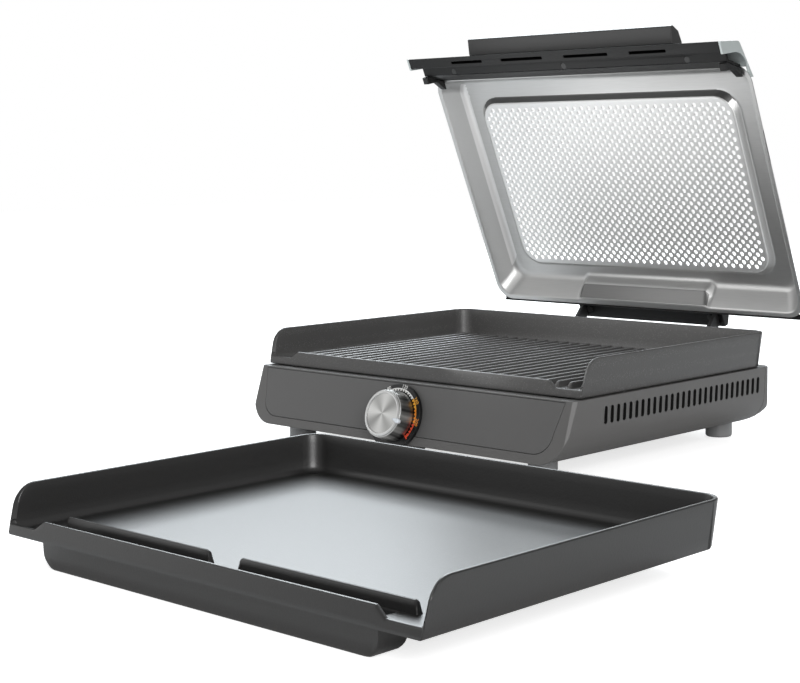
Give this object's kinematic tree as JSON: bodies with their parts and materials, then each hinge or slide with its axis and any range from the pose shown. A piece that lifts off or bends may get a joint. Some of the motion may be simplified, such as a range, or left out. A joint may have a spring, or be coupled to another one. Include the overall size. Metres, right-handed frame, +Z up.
{
  "type": "electric indoor grill",
  "caption": "Countertop electric grill with a lift-out ribbed plate over a heater, a hinged vented lid, a control knob and a spare flat griddle plate.",
  "frame": {"origin": "on the table, midway between the four feet of the base", "axes": "+X to the right of the user, -Y towards the user, +Z up"},
  "size_m": [0.6317, 0.8159, 0.3805],
  "materials": {
    "housing": "satin",
    "panel": "satin",
    "under": "satin",
    "foot": "satin",
    "screw": "satin",
    "dark_screw": "satin",
    "deck": "satin",
    "silicone": "matt",
    "tray": "satin",
    "element": "dull",
    "ceramic": "glazed",
    "copper": "satin",
    "wire": "matt",
    "gland": "matt",
    "dial": "satin",
    "knob_side": "satin",
    "knob_face": "turned",
    "marking": "satin",
    "nonstick": "fine speckle",
    "stainless": "brushed",
    "trim": "satin",
    "shell": "satin",
    "seal": "matt",
    "arm": "satin",
    "bush": "satin"
  },
  "bodies": {
    "base": {"housing_shell": "housing", "front_panel": "panel", "rear_cover": "housing", "bottom_cover": "under", "feet": "foot", "foot_screws": "screw", "bottom_screws": "screw", "rear_screws": "dark_screw", "top_deck": "deck", "plate_rests": "silicone", "reflector_tray": "tray", "heating_element": "element", "element_clamps": "deck", "element_insulators": "ceramic", "thermostat": "ceramic", "thermostat_nut": "screw", "sensor_bulb": "copper", "sensor_clips": "deck", "thermal_fuse": "ceramic", "terminal_block": "ceramic", "lead_wires": "wire", "cord_gland": "gland", "dial_ring": "dial", "hinge_block": "trim", "hinge_pins": "screw", "hinge_washers": "screw", "hinge_screws": "screw"},
    "knob": {"knob_spindle": "screw", "knob_skirt": "knob_side", "knob_cap": "knob_face", "knob_pointer": "marking", "knob_clip": "screw"},
    "lid": {"lid_pan": "stainless", "rear_trim": "trim", "front_shell": "shell", "front_trim": "trim", "corner_seals": "seal", "grip": "trim", "trim_screws": "dark_screw", "hinge_cover": "trim", "hinge_arms": "arm", "hinge_bushes": "bush", "arm_screws": "screw"},
    "grill_plate": {"grill_plate": "nonstick"},
    "griddle_plate": {"griddle_plate": "nonstick"}
  },
  "joints": [
    {"name": "lid_hinge", "type": "hinge", "parent": "base", "child": "lid", "pos_m": [0, 0.182, 0.056], "axis": [-1, 0, 0], "range_deg": [-66, 24]},
    {"name": "knob_turn", "type": "hinge", "parent": "base", "child": "knob", "pos_m": [0, -0.15189, 0.03707], "axis": [0, -0.9511, 0.309], "range_deg": [-37, 243]},
    {"name": "grill_plate_lift", "type": "slide", "parent": "base", "child": "grill_plate", "axis": [0, 0, 1], "range_m": [0, 0.11]},
    {"name": "griddle_plate_lift", "type": "slide", "parent": "base", "child": "griddle_plate", "axis": [0, 0, 1], "range_m": [0, 0.15]}
  ]
}
